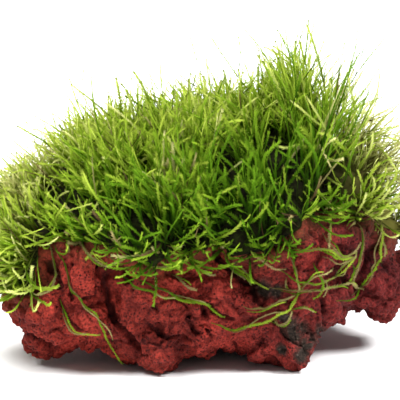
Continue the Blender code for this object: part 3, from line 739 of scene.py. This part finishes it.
# Three ramps over a shoot's own shade, for its middle, tip and foot, are mixed along the shoot; the foot's
# near-black is partly the old brown stem and partly painted shade deep in the moss
map_place = tree.nodes.new("ShaderNodeUVMap")
map_place.uv_map = "OFBake"
split = tree.nodes.new("ShaderNodeSeparateXYZ")
tree.links.new(map_place.outputs["UV"], split.inputs["Vector"])
along, own = split.outputs["X"], split.outputs["Y"]
middles = ramp(
    tree, own,
    (0.00, (0.035, 0.105, 0.002)), (0.18, (0.075, 0.185, 0.004)), (0.38, (0.145, 0.275, 0.008)),
    (0.58, (0.250, 0.370, 0.018)), (0.77, (0.420, 0.450, 0.110)), (0.86, (0.230, 0.210, 0.060)),
    (0.95, (0.090, 0.048, 0.020)),
)
tips = ramp(
    tree, own,
    (0.00, (0.120, 0.250, 0.010)), (0.25, (0.290, 0.430, 0.028)), (0.50, (0.500, 0.600, 0.080)),
    (0.77, (0.760, 0.760, 0.320)), (0.86, (0.460, 0.420, 0.160)), (0.95, (0.200, 0.130, 0.060)),
)
# Painted shade: the feet are darker than the old stems' own brown, for the shade deep in the moss
brown_and_shaded_feet = ramp(
    tree, own,
    (0.00, (0.006, 0.012, 0.001)), (0.50, (0.022, 0.032, 0.003)), (0.80, (0.050, 0.038, 0.010)),
    (1.00, (0.035, 0.018, 0.007)),
)
near_tip = ramp(tree, along, (0.50, (0, 0, 0)), (0.92, (1, 1, 1)))
past_foot = ramp(tree, along, (0.18, (0, 0, 0)), (0.58, (1, 1, 1)))
at_end = ramp(tree, along, (0.95, (0, 0, 0)), (0.99, (0.6, 0.6, 0.6)))
whole = mixed(tree, past_foot, brown_and_shaded_feet, mixed(tree, near_tip, middles, tips))
whole = mixed(tree, at_end, whole, (0.070, 0.085, 0.012))
shader = tree.nodes["Principled BSDF"]
shader.inputs["Roughness"].default_value = 0.6
shader.inputs["Specular IOR Level"].default_value = 0.04
tree.links.new(whole, shader.inputs["Base Color"])
glow = tree.nodes.new("ShaderNodeBsdfTranslucent")
tree.links.new(whole, glow.inputs["Color"])
both = tree.nodes.new("ShaderNodeMixShader")
both.inputs["Fac"].default_value = 0.45
tree.links.new(shader.outputs["BSDF"], both.inputs[1])
tree.links.new(glow.outputs["BSDF"], both.inputs[2])
tree.links.new(both.outputs["Shader"], tree.nodes["Material Output"].inputs["Surface"])

# Some of the front's shoots stand out one by one. Each has its leaf reach in millimetres, its shade and its
# route on the drawing plane, root first.
SINGLE_SHOOTS_MM = (
    (1.15, 0.5, ((-29, -6.3), (-33.2, -2.4), (-36.8, 2.1), (-39.9, 5.6), (-41.3, 9.1))),
    (0.85, 0.62, ((1.8, 1.4), (-2.4, 4.5), (-7.7, 5.9), (-12.2, 7.7), (-15.7, 9.8))),
    (0.95, 0.4, ((-14, -5.9), (-17.5, -1.8), (-23.4, 3.5), (-28.7, 7), (-33.6, 9.4))),
    (0.8, 0.66, ((-1.4, 8.4), (-3.5, 11.9), (-6.6, 15.7), (-9.8, 19.9), (-11.5, 22.4))),
    (0.8, 0.6, ((-28.3, -8.4), (-30.1, -4.5), (-31.5, -1.4), (-33.2, 0))),
    (0.7, 0.55, ((-30.1, -4.5), (-29, -1.4), (-27.6, 0.3))),
    (1.0, 0.55, ((-15.4, 28.7), (-17.5, 33.9), (-19.6, 39.2), (-21.7, 42.7), (-23.4, 45.1))),
    (1.2, 0.62, ((-27.3, 26.2), (-27.6, 32.2), (-28.3, 37.8), (-29.4, 43))),
    (0.7, 0.7, ((-30.8, 28.7), (-35, 32.5), (-39.2, 36), (-42.7, 38.5), (-45.1, 40.6))),
    (0.75, 0.55, ((-50.4, 17.5), (-54.6, 20.6), (-59.5, 23.4), (-64, 25.9))),
    (0.22, 0.96, ((-50.4, 14.7), (-54.2, 17.5), (-57, 19.9), (-59.8, 21))),
    (0.5, 0.62, ((-49.7, 7), (-53.9, 10.8), (-58.1, 14.7), (-62.3, 18.2), (-65.1, 20.6))),
    (0.5, 0.58, ((-54.2, 5.6), (-58.8, 8.8), (-63.3, 12.2), (-67.5, 15.4))),
    (0.22, 0.96, ((-46.2, 21), (-48.3, 24.5), (-51.4, 28.3), (-54.2, 31.5))),
    (0.22, 0.96, ((-58.1, 6.3), (-57, 11.2), (-55.3, 14.7), (-53.2, 16.8))),
    (0.22, 0.95, ((-4.2, 35.7), (-4.2, 39.9), (-4.2, 43.8))),
    (0.22, 0.95, ((-9.1, 32.2), (-8.8, 36.8), (-8.4, 42.7))),
    (0.8, 0.5, ((-13.6, -7), (-14, -1.8), (-14.7, 2.8), (-15, 6.3))),
    (1.45, 0.42, ((42, 13.3), (39.9, 18.2), (37.8, 22.8), (35, 25.9))),
    (0.85, 0.7, ((42.7, 17.1), (37.8, 18.5), (33.9, 19.2), (30.1, 18.2), (26.9, 18.9))),
    (0.95, 0.62, ((53.5, 13.3), (50.8, 17.5), (47.2, 21), (44.1, 23.1), (41.3, 23.4))),
    (0.65, 0.72, ((50.8, 11.9), (47.6, 18.2), (43.4, 25.9), (40.2, 31.5), (37.1, 36.4))),
    (0.6, 0.72, ((48.3, 18.9), (44.4, 24.1), (39.5, 28.3), (35, 32.2), (31.5, 35))),
    (0.75, 0.66, ((21.7, 23.4), (19.2, 26.9), (16.8, 29), (14.3, 31.1))),
    (0.6, 0.8, ((8, 7.7), (11.2, 10.8), (14.7, 13.6))),
    (0.7, 0.78, ((33.9, 4.2), (34.6, 6.6), (36.4, 9.1))),
    (0.85, 0.45, ((18.9, 2.8), (17.1, 4.5), (12.9, 4.9), (10.1, 3.8), (7.7, 2.4))),
    (0.8, 0.66, ((31.1, 5.9), (26.9, 5.9), (22.8, 5.9))),
    (1.0, 0.38, ((22.4, 5.9), (24.8, -0.3), (28, -4.9), (32.5, -7), (37.1, -5.9), (41.3, -2.1))),
    (1.35, 0.38, ((3.8, -15.4), (2.8, -7.7), (1, -2.1), (-1, 3.1))),
    (0.9, 0.4, ((16.1, -9.1), (19.6, -6.6), (22.4, -3.5), (23.8, -0.7))),
    (0.9, 0.5, ((26.2, 11.9), (23.4, 17.5), (21, 21.7), (19.6, 24.1))),
    (1.15, 0.38, ((7.7, 11.2), (5.9, 17.5), (3.5, 22.8), (1.4, 27.3))),
    (0.6, 0.66, ((42.7, 9.8), (45.8, 7), (50, 4.5))),
    (0.8, 0.62, ((37.1, 41.3), (32.2, 46.9), (28, 50.4), (24.5, 52.8), (22.4, 53.5))),
    (0.7, 0.6, ((36, 44.1), (31.5, 49), (28.7, 51.8), (25.5, 53.9))),
    (0.9, 0.6, ((43.8, 39.2), (42, 47.2), (40.2, 53.5), (38.8, 57.7), (37.1, 61.6))),
    (0.55, 0.6, ((37.1, 46.2), (36, 51.4), (34.6, 55.6))),
    (0.6, 0.74, ((56, 25.2), (59.1, 31.8), (61.9, 37.4), (63, 44.1))),
    (0.5, 0.72, ((53.9, 32.2), (53.2, 36.4), (51.4, 44.8))),
    (0.55, 0.76, ((58.8, 23.1), (63, 27.6), (66.8, 30.8), (69.6, 33.6))),
    (0.55, 0.76, ((61.6, 17.8), (65.1, 18.9), (67.9, 21), (70, 24.5))),
    (0.55, 0.72, ((60.2, 19.9), (64.4, 16.8), (67.2, 12.9), (69.3, 9.4))),
    (0.9, 0.72, ((52.5, 3.5), (50.8, 0.3), (48.6, -4.2))),
    (0.6, 0.7, ((58.1, 17.5), (61.6, 21), (65.8, 21.7), (69.6, 21))),
)


def smooth_route(route, step):
    """Points about one step apart on a smooth curve through the route's points."""
    points = [Vector(p) * 0.001 for p in route]
    ends = [points[0] * 2 - points[1]] + points + [points[-1] * 2 - points[-2]]
    result = [points[0]]
    for a, b, c, d in zip(ends, ends[1:], ends[2:], ends[3:]):
        runs = max(1, round((c - b).length / step))
        for i in range(1, runs + 1):
            s = i / runs
            result.append(0.5 * (2 * b + (c - a) * s + (2 * a - 5 * b + 4 * c - d) * s * s
                                 + (3 * b - a - 3 * c + d) * s ** 3))
    return result


def line_of_sight(right, higher):
    """The way from the eye to a place on the drawing plane."""
    return (VIEW_AIM + Vector((right, 0, 0)) + view_up * higher - eye).normalized()


# A single shoot stands just in front of its neighbours, seen from the eye, and its foot goes in among them
NEIGHBOURHOOD_MM = 2.5
FLAT_TO_EYE = np.array([-1.57])
singles = []
seen = on_drawing_plane(lines).reshape(-1, 2)
from_eye = np.linalg.norm(lines.reshape(-1, 3) - np.array(eye), axis=1)
for reach_mm, own, route in SINGLE_SHOOTS_MM:
    points = smooth_route(route, 0.0015)
    near = [np.linalg.norm(seen - np.array(p) * 1000.0, axis=1) < NEIGHBOURHOOD_MM for p in points]
    depth = min([np.percentile(from_eye[n], 6) for n in near if n.sum() > 20] or [VIEW_DISTANCE]) - 0.001
    sunk = 0.012 * np.linspace(1.0, 0.0, len(points)) ** 2
    line = [eye + line_of_sight(*p) * (depth + float(back)) for p, back in zip(points, sunk)]
    line = held_in(np.array([p[:] for p in line])[None])
    leaves = max(8, round(len(points) * 2.2))
    reach_of, shade_of = np.array([reach_mm * SINGLE_LEAF_REACH]), np.array([own - 0.1])
    singles.append(leafy_shoots(line, reach_of, shade_of, FLAT_TO_EYE, leaves, 6, 0.30))

# Lengths from and up to, and the leaves on either side
LEAVES_BY_LENGTH = ((0.0, 0.014, 17), (0.014, 0.020, 23), (0.020, 0.027, 30), (0.027, 1.0, 37))
order = draw.permutation(shoot_count)
for number in range(SHOOT_PIECES):
    mine = order[number::SHOOT_PIECES]
    parts = []
    for shortest, longest, leaves in LEAVES_BY_LENGTH:
        pick = mine[(length[mine] >= shortest) & (length[mine] < longest)]
        if len(pick):
            parts.append(leafy_shoots(lines[pick], reach[pick], shade[pick], spin[pick], leaves))
    forked = np.nonzero(np.isin(parents, mine))[0]
    parent = parents[forked]
    parts.append(leafy_shoots(side_lines[forked], reach[parent] * SIDE_LEAF_SHARE, shade[parent],
                              spin[parent] + 1.3, 8))
    every = slice(number, None, SHOOT_PIECES)
    hem_spin = draw.normal(FLAT_TO_EYE[0], 0.7, len(hem_lines[every]))
    parts.append(leafy_shoots(hem_lines[every], hem_reach[every], hem_shade[every], hem_spin, 12, 4, 0.10))
    parts += singles[every]
    free_shoots = shoots_object(f"free_shoots_{number + 1}", parts, [fresh_moss])
    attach(free_shoots, "root")
    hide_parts("moss_mat")


# The trailing shoots are single long shoots that have grown down out of the mat over the bare stone and lie
# on it, held by nothing but their leaves. They follow their routes on the drawing plane, in millimetres to
# the right of and above its middle, and are laid on the stone along the line of sight.
TRAILING_STEP = 0.0007
LIFT, LEAST_LIFT = 0.0012, 0.0010          # of the stem's middle over the stone, when laid and when eased
TRAILING_EASING = 16
TRAILING_REACH, TWIN_REACH = (0.0005, 0.0007), 0.0004
TRAILING_SHADES = (0.14, 0.89, 0.34, 0.90)
STRAY, TWIN_STRAY = 0.0004, 0.0022
TRAILING_MM = (
    ((-50, -16), (-47, -22), (-45, -29), (-41, -36), (-34, -44), (-31, -50), (-26, -57)),
    ((-53.9, -13.3), (-51.1, -20), (-49.7, -24.9), (-50.8, -30.5), (-54.3, -34), (-57, -34.3),
     (-61.3, -31.2)),
    ((-50, -16.5), (-48, -19.6), (-45.9, -19.6), (-45.9, -14.7), (-46.2, -10.9)),
    ((-43.4, -11.2), (-41.3, -16.5), (-38.9, -20), (-34.7, -22.4), (-29.8, -21.7), (-25.9, -21)),
    ((-31.2, -19.6), (-30.8, -15.8), (-28.4, -13), (-25.2, -8.8)),
    ((-31.5, -19.3), (-27.7, -21), (-25.2, -20), (-24.9, -16.5)),
    ((-22.4, -16.8), (-20.3, -21), (-16.5, -22.8), (-10.5, -23.1), (-7.4, -22.4), (-5.3, -19.6)),
    ((-21.4, -7), (-17.5, -11.2), (-11.9, -13), (-5.3, -13.7), (0, -15.1)),
    ((-21.7, -27.3), (-16.5, -30.5), (-10.5, -33.6), (-5.3, -35.4), (0, -36.1), (2.8, -35.7), (5.3, -37.8),
     (6.7, -40.3), (8.8, -41)),
    ((0, -23.8), (4.9, -27.3)),
    ((9.5, -17.9), (10.9, -21.4), (13.7, -24.2), (17.9, -26.3), (21, -28.7), (24.2, -30.8)),
    ((9.8, -1.4), (10.9, -7), (11.6, -13), (15.8, -16.5), (20, -19.3), (24.2, -21.7), (27.7, -24.2),
     (29.8, -23.1)),
    ((14.7, -8.1), (17.9, -9.5), (22.4, -11.6), (27, -13.3)),
    ((19.3, -13.3), (22.6, -14.4), (25.9, -14.7)),
    ((24.2, 0), (25.9, -3.5), (28.7, -7.7), (32.2, -8.1), (36.8, -6), (40.3, -3.5)),
    ((30.5, -26.3), (30.8, -31.2)),
    ((38.9, -21.4), (41.7, -24.9), (42.7, -28.7), (42, -32.9), (38.9, -34.7)),
    ((14.7, -36.8), (17.9, -38.5), (22.4, -38.5), (26.6, -37.1), (30.5, -34.7), (32.9, -32.2)),
    ((3.9, -42.4), (6.7, -44.1), (11.2, -45.2), (16.8, -44.1), (22.4, -42.7), (26.6, -41),
     (31.2, -38.9), (34, -35.7)),
    ((26.6, -41), (27.7, -43.4), (30.5, -42), (32.2, -39.6)),
    ((32.2, -37.8), (35.7, -37.8), (40.6, -39.2)),
    ((42.7, -11.2), (45.2, -16.1), (47.3, -18.9), (50.4, -19.6), (53.2, -17.9), (55.3, -15.1)),
    ((42, -17.9), (46.6, -20.7), (50.4, -20.7), (53.6, -19.3)),
    ((43.4, -28.7), (46.6, -26.6), (49.7, -22.4), (53.2, -20), (53.6, -17.9)),
    ((52.5, -22.8), (53.6, -25.9), (52.5, -28)),
    ((43.8, -30.5), (49, -30.5), (55.7, -30.5)),
    ((47.3, -35.7), (52.5, -34.3), (56.4, -30.8), (59.5, -24.9), (62.7, -20), (63.4, -13.3),
     (63, -6.7), (62.7, -2.1)),
    ((63, -11.2), (64.4, -16.8), (64.4, -19.6)),
    ((48.3, -3.9), (50.1, -1.4), (51.5, 0)),
    ((51.5, -10.9), (55, -7.7)),
    ((28.6, -23.9), (31.8, -26.8), (37.1, -28.7), (42.4, -28.2), (47.7, -26), (51.9, -22.5), (54.5, -17.2)),
    ((24.4, -30.3), (31.8, -31), (42.4, -30.3), (50, -30.2), (57.2, -30.6)),
    ((30.2, -14.9), (32.3, -21.3), (33.7, -26.6), (34.9, -30.3), (33.9, -35), (31.8, -37.2)),
    ((32.8, -32.4), (36.5, -29.2), (41.3, -25.5), (46.6, -23.4)),
    ((31.8, -17.6), (36.5, -17), (41.3, -17.2), (46.6, -19.7), (49.8, -21.3), (53, -19.7)),
    ((55.1, -7.5), (56.3, -13.9), (55.1, -21.3), (53, -28.2)),
    ((9.5, -19.7), (12.7, -24.4), (17.5, -26), (20.1, -28.7)),
    ((45.5, -7.5), (45.7, -12.3), (45.3, -17)),
    ((-49.4, -35), (-47.2, -41.4), (-43.5, -46.2), (-35.1, -46.5)),
    ((-10.7, -26.6), (-4.3, -30.3), (-0.6, -31.9)),
    ((-28.2, -26), (-24.5, -29.2), (-17, -32.4), (-10.7, -35), (-2.2, -36.6)),
)

fine_stone = bmesh.new()
fine_stone.from_mesh(stone_mesh)
stone_surface = BVHTree.FromBMesh(fine_stone)
fine_stone.free()

# Each has a thinner twin that strays from its route and is shorter at both ends
parts = []
for number, route in enumerate(TRAILING_MM * 2):
    twin = number >= len(TRAILING_MM)
    laid = []
    stray = TWIN_STRAY if twin else STRAY
    for right, higher in smooth_route(route, TRAILING_STEP):
        off = noise.noise_vector(Vector((right * 90.0, higher * 90.0, number))) * stray
        spot, spot_normal, _, _ = stone_surface.ray_cast(eye, line_of_sight(right + off.x, higher + off.y))
        if spot is not None:
            laid.append(spot + spot_normal * LIFT)
    if twin:
        laid = laid[len(laid) // 6:-max(1, len(laid) // 5)]
    if len(laid) < 6:
        continue
    for _ in range(TRAILING_EASING):
        laid[1:-1] = [(a + b * 2 + c) / 4 for a, b, c in zip(laid, laid[1:], laid[2:])]
        for i, point in enumerate(laid):
            spot, spot_normal, _, _ = stone_surface.find_nearest(point)
            laid[i] = point + spot_normal * max(0.0, LEAST_LIFT - (point - spot).dot(spot_normal))
    line = np.array([p[:] for p in laid])[None]
    least, most = TRAILING_REACH
    size = np.array([TWIN_REACH if twin else least + (most - least) * ((number * 0.61) % 1.0)])
    own = np.array([TRAILING_SHADES[number % len(TRAILING_SHADES)]])
    leaves = max(5, len(laid))
    parts.append(leafy_shoots(line, size, own, FLAT_TO_EYE, leaves, max(4, len(laid) // 3), 0.30))
trailing_shoots = shoots_object("trailing_shoots", parts, [fresh_moss])
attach(trailing_shoots, "root")
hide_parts(*[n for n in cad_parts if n.startswith("trailing_shoot")])


# The stage is a plain pale floor under soft light from above, as in a light tent: two broad lamps, one on
# either side, and a weak glow all round. A long lens sees the stone from a little above it.
FLOOR_GREY = 0.88
GLOW = 0.24
LAMP_STRENGTH, LAMP_SPREAD = 6.8, math.radians(28.0)
LAMP_TILT, LAMP_FORWARD = math.radians(34.0), math.radians(9.0)
SENSOR_MM = 36.0
PICTURE_WIDTH = 0.140          # at VIEW_DISTANCE

floor_mesh = bpy.data.meshes.new("floor")
ground = bmesh.new()
bmesh.ops.create_grid(ground, x_segments=1, y_segments=1, size=6.0)
ground.to_mesh(floor_mesh)
ground.free()
floor = bpy.data.objects.new("floor", floor_mesh)
bpy.context.scene.collection.objects.link(floor)
white = bpy.data.materials.new("white_floor")
white.use_nodes = True
shader = white.node_tree.nodes["Principled BSDF"]
shader.inputs["Base Color"].default_value = (FLOOR_GREY, FLOOR_GREY, FLOOR_GREY, 1.0)
shader.inputs["Roughness"].default_value = 0.6
floor_mesh.materials.append(white)

world = bpy.data.worlds.new("light_tent")
world.use_nodes = True
tree = world.node_tree
glow = tree.nodes["Background"]
glow.inputs["Color"].default_value = (1.0, 1.0, 1.0, 1.0)
glow.inputs["Strength"].default_value = GLOW
# The camera sees a white backdrop, and only the weaker glow lights the stone
backdrop = tree.nodes.new("ShaderNodeBackground")
seen_or_light = tree.nodes.new("ShaderNodeMixShader")
rays = tree.nodes.new("ShaderNodeLightPath")
tree.links.new(rays.outputs["Is Camera Ray"], seen_or_light.inputs["Fac"])
tree.links.new(glow.outputs["Background"], seen_or_light.inputs[1])
tree.links.new(backdrop.outputs["Background"], seen_or_light.inputs[2])
tree.links.new(seen_or_light.outputs["Shader"], tree.nodes["World Output"].inputs["Surface"])
bpy.context.scene.world = world
for name, tilt in (("left_light", LAMP_TILT), ("right_light", -LAMP_TILT)):
    light = bpy.data.lights.new(name, "SUN")
    light.energy = LAMP_STRENGTH
    light.angle = LAMP_SPREAD
    lamp = bpy.data.objects.new(name, light)
    bpy.context.scene.collection.objects.link(lamp)
    lamp.rotation_euler = (LAMP_FORWARD, tilt, 0.0)

camera_data = bpy.data.cameras.new("camera")
camera_data.sensor_width = SENSOR_MM
camera_data.lens = SENSOR_MM * VIEW_DISTANCE / PICTURE_WIDTH
camera = bpy.data.objects.new("camera", camera_data)
bpy.context.scene.collection.objects.link(camera)
camera.location = eye
camera.rotation_euler = (math.radians(90.0) - VIEW_DOWN, 0.0, 0.0)
bpy.context.scene.camera = camera
bpy.context.scene.view_settings.view_transform = "Standard"
